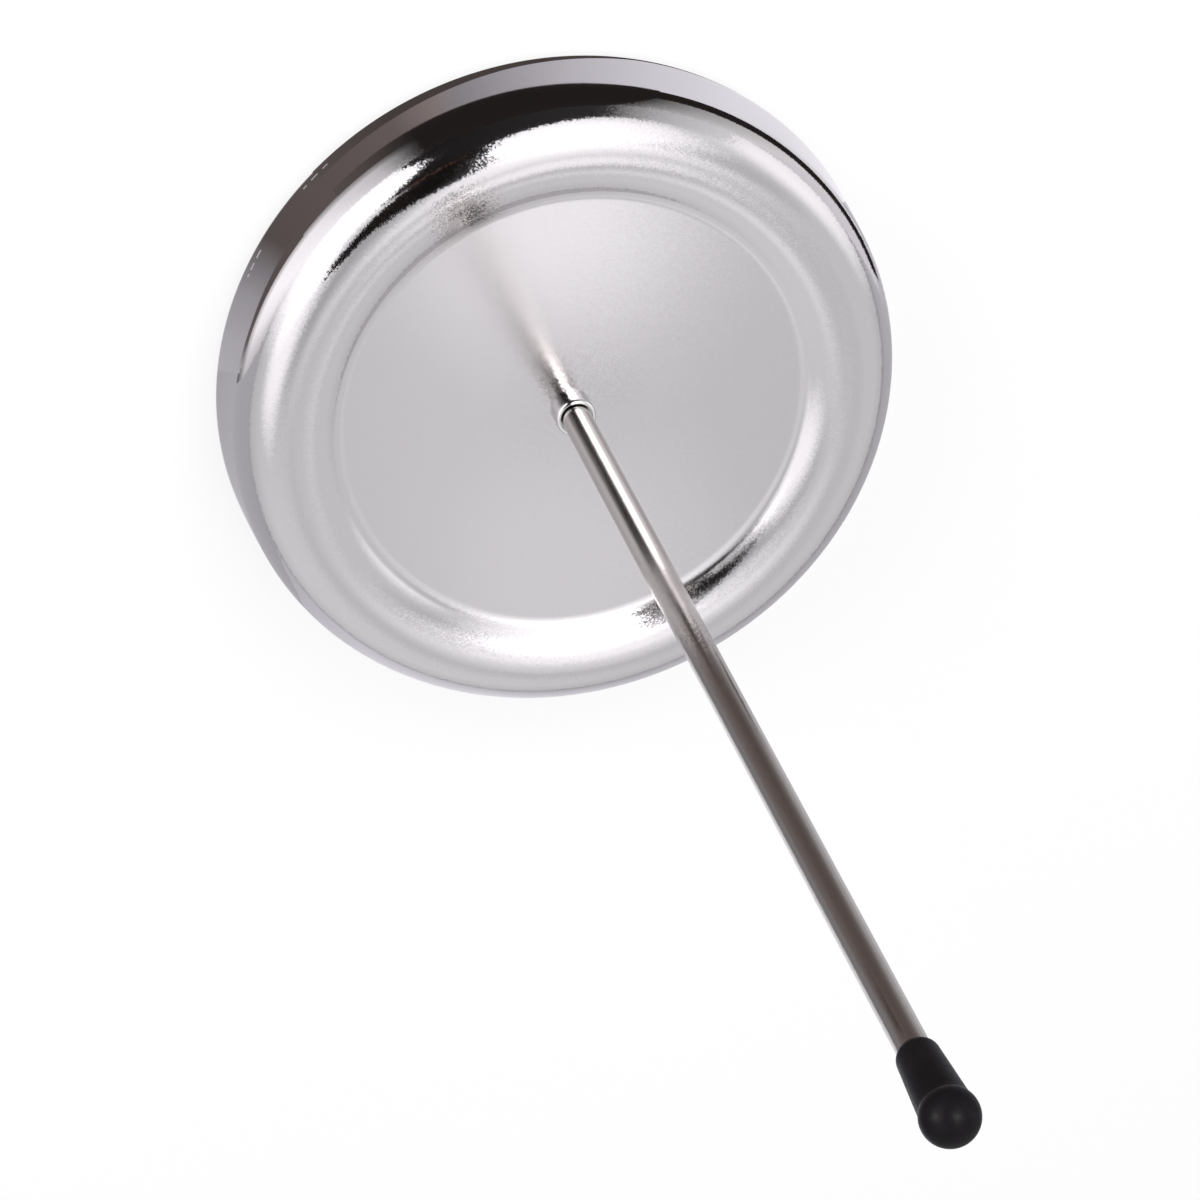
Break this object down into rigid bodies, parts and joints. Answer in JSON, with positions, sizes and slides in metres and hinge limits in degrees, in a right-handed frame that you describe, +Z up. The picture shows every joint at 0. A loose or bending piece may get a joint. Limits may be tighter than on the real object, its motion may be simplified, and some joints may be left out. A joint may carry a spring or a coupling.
{
  "type": "receipt spike",
  "caption": "Round weighted base of pressed steel with a pointed upright rod that paper slips are pushed onto, and a soft ball-ended cap over the point.",
  "frame": {"origin": "centre of the pad's underside, on the surface that the spike stands on", "axes": "+Z up along the rod; the object is round about Z, and the lock washer's split faces +X"},
  "size_m": [0.08, 0.08, 0.1645],
  "materials": {
    "satin_chrome": "satin pearl chrome plate on pressed steel, smooth on the skirt",
    "bright_chrome": "bright chrome plate",
    "drawn_steel": "drawn steel with fine lines along its length",
    "cap_rubber": "matt moulded rubber",
    "plated_steel": "zinc plate",
    "ballast_steel": "bare dark steel plate",
    "pad_foam": "matt non-slip foam rubber"
  },
  "bodies": {
    "stand": {"base_shell": "satin_chrome", "spike_collar": "bright_chrome", "spike_rod": "drawn_steel", "spacer_tube": "plated_steel", "ballast_plate": "ballast_steel", "plain_washer": "plated_steel", "lock_washer": "plated_steel", "hex_nut": "plated_steel", "base_pad": "pad_foam"},
    "cap": {"tip_cap": "cap_rubber"}
  },
  "joints": [
    {"name": "cap_pull", "type": "slide", "parent": "stand", "child": "cap", "axis": [0, 0, 1], "range_m": [0, 0.016]}
  ]
}
